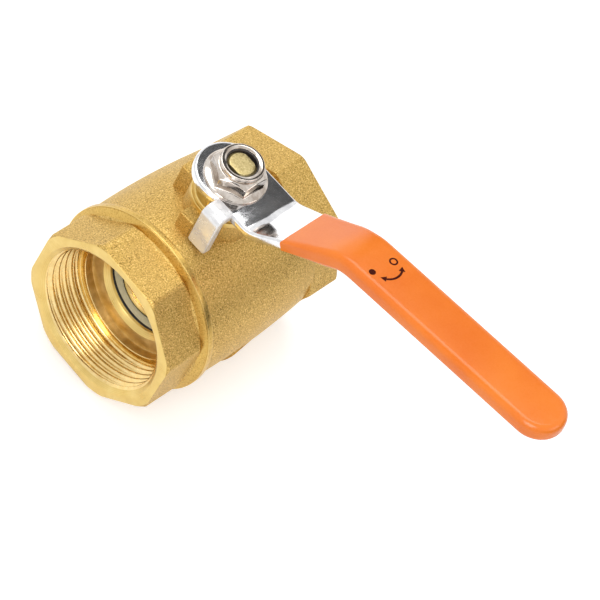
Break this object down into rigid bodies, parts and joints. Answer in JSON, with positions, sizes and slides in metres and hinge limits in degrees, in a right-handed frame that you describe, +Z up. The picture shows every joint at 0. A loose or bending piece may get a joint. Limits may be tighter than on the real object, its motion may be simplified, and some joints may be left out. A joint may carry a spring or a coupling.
{
  "type": "ball valve",
  "caption": "Two-piece brass ball valve with female pipe threads, octagonal wrench ends and a quarter-turn lever with a soft coated grip.",
  "frame": {"origin": "centre of the inlet mouth, on the pipe axis, in the plane of the inlet face", "axes": "+X along the pipe axis from inlet to outlet, +Z up the stem, and the lever points along -Y at rest, with the valve shut"},
  "size_m": [0.066, 0.1334, 0.0942],
  "materials": {
    "cast_brass": "sand-blasted, turned at the faces and threads",
    "turned_brass": "turned",
    "chromed_brass": "polished",
    "ptfe": "waxy",
    "black_rubber": "smooth",
    "sealing_fibre": "matt",
    "plated_steel": "bright plating",
    "nickelled_steel": "bright",
    "dark_nylon": "smooth",
    "orange_vinyl": "dipped, satin"
  },
  "bodies": {
    "valve_body": {"body": "cast_brass", "retainer": "cast_brass", "retainer_gasket": "sealing_fibre", "inlet_seat": "ptfe", "outlet_seat": "ptfe", "inlet_backing_ring": "black_rubber", "outlet_backing_ring": "black_rubber", "thrust_washer": "ptfe", "packing_ring_lower": "ptfe", "packing_ring_upper": "ptfe", "gland_nut": "turned_brass"},
    "ball": {"ball": "chromed_brass"},
    "handle": {"stem": "turned_brass", "stem_o_ring": "black_rubber", "lever": "plated_steel", "grip": "orange_vinyl", "lock_nut": "nickelled_steel", "nut_insert": "dark_nylon"}
  },
  "joints": [
    {"name": "lever_turn", "type": "hinge", "parent": "valve_body", "child": "handle", "pos_m": [0.0335, 0, 0], "axis": [0, 0, 1], "range_deg": [0, 90]},
    {"name": "ball_turn", "type": "hinge", "parent": "valve_body", "child": "ball", "pos_m": [0.0335, 0, 0], "axis": [0, 0, 1], "range_deg": [0, 90]}
  ],
  "couplings": [
    {"joint": "ball_turn", "follows": "lever_turn", "ratio": 1}
  ]
}
